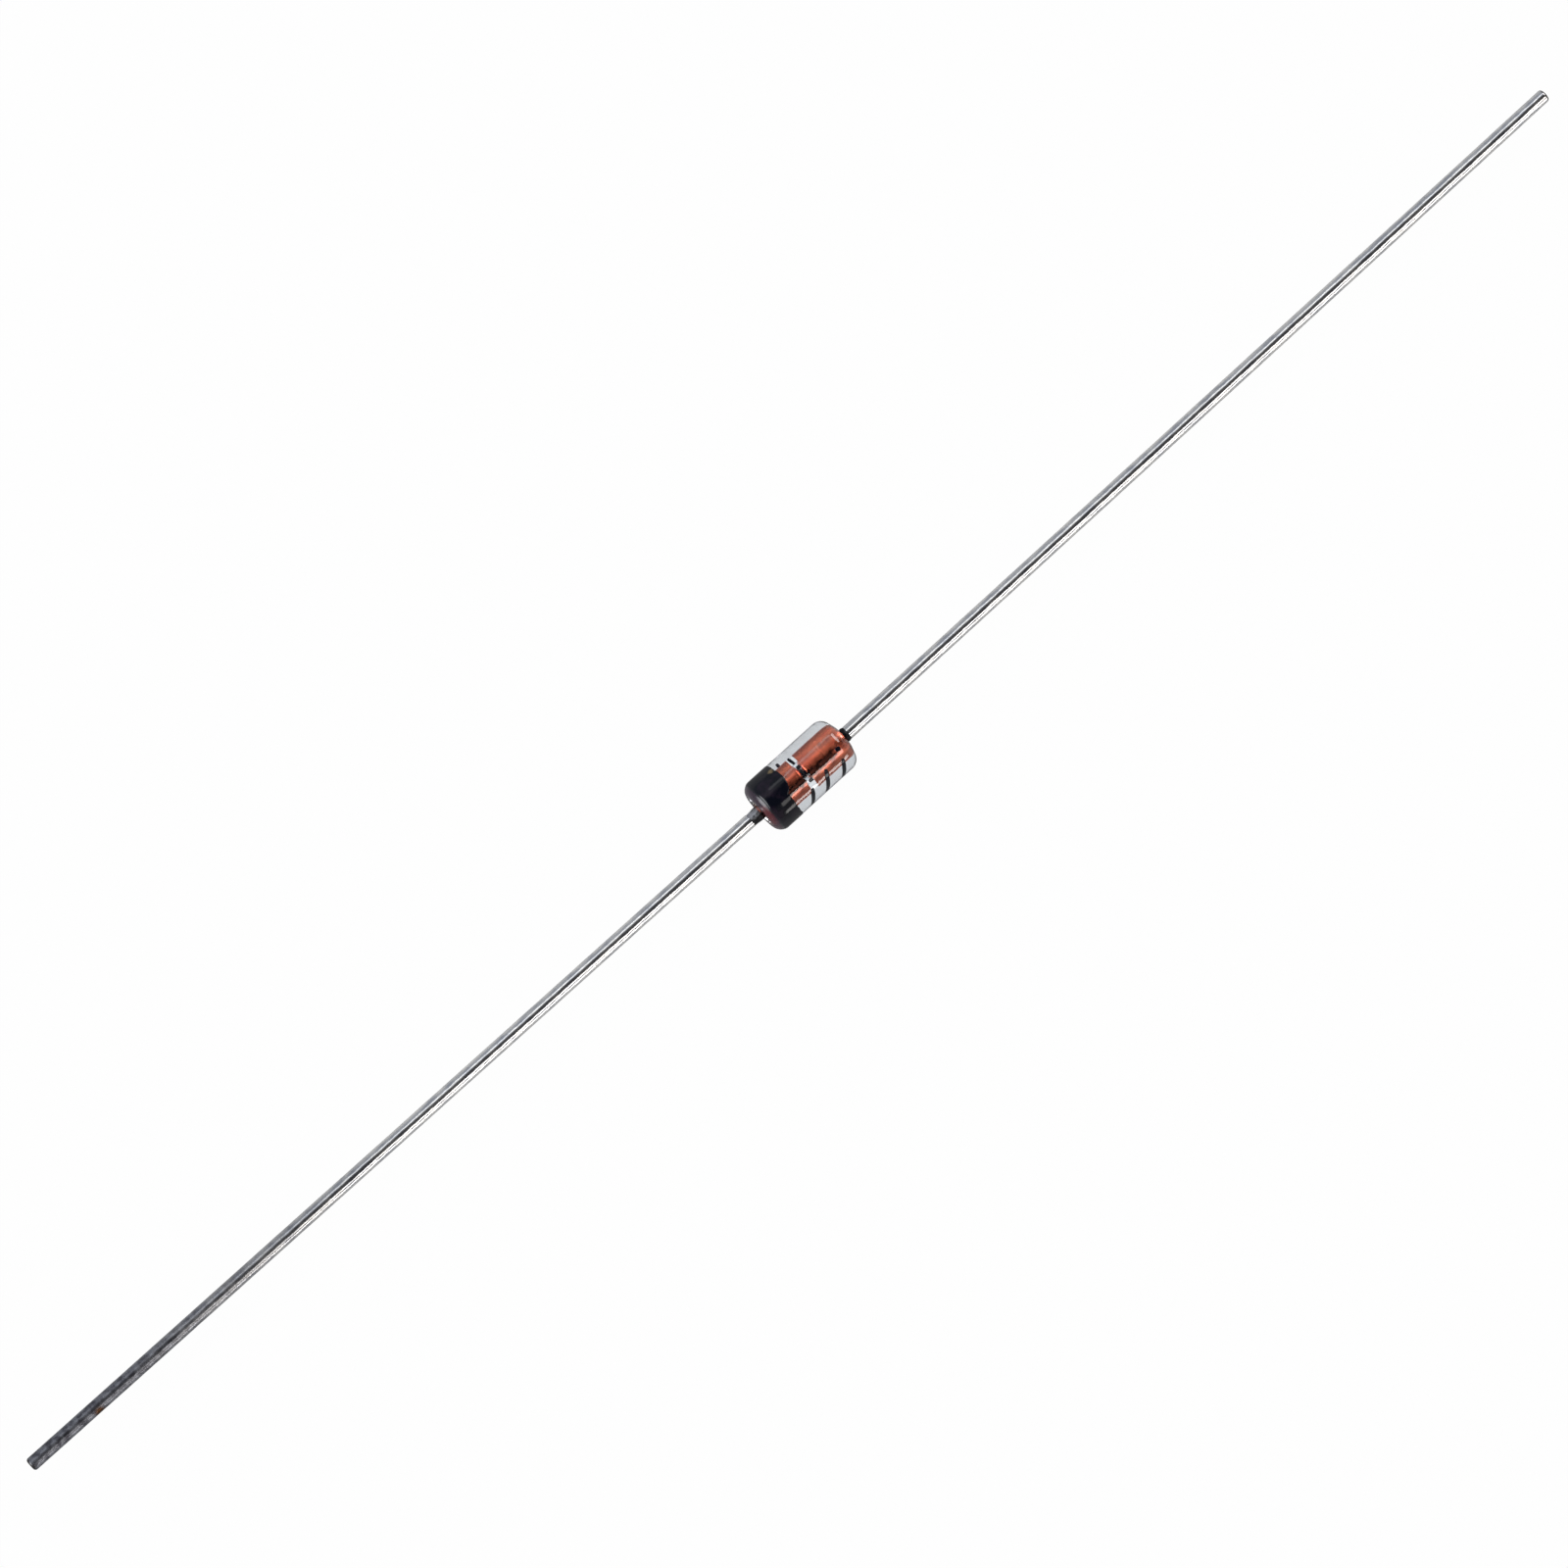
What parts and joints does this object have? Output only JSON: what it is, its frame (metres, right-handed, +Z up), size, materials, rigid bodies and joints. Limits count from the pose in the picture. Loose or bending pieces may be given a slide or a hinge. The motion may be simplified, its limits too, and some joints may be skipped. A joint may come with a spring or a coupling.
{
  "type": "zener diode",
  "caption": "Small-signal zener diode in a clear glass axial package: copper-red studs clamp the die, a black ring marks the cathode, straight tinned wire leads.",
  "frame": {"origin": "middle of the glass sleeve, on the axis of the leads", "axes": "+X along the leads from the banded cathode to the anode, +Z up as the part lies on its glass"},
  "size_m": [0.065, 0.002, 0.002],
  "materials": {
    "glass": "clear, fire-polished",
    "band_ink": "gloss black ink",
    "stud_copper": "copper cladding under red oxide",
    "silicon": "polished silicon",
    "silver": "plated silver",
    "weld": "dull oxidised weld",
    "tinned_wire": "tinned, slightly dimpled"
  },
  "bodies": {
    "root": {"glass_sleeve": "glass", "cathode_band": "band_ink", "cathode_stud": "stud_copper", "anode_stud": "stud_copper", "silver_backing": "silver", "zener_die": "silicon", "silver_bump": "silver", "cathode_weld": "weld", "anode_weld": "weld", "cathode_lead": "tinned_wire", "anode_lead": "tinned_wire"}
  },
  "joints": []
}
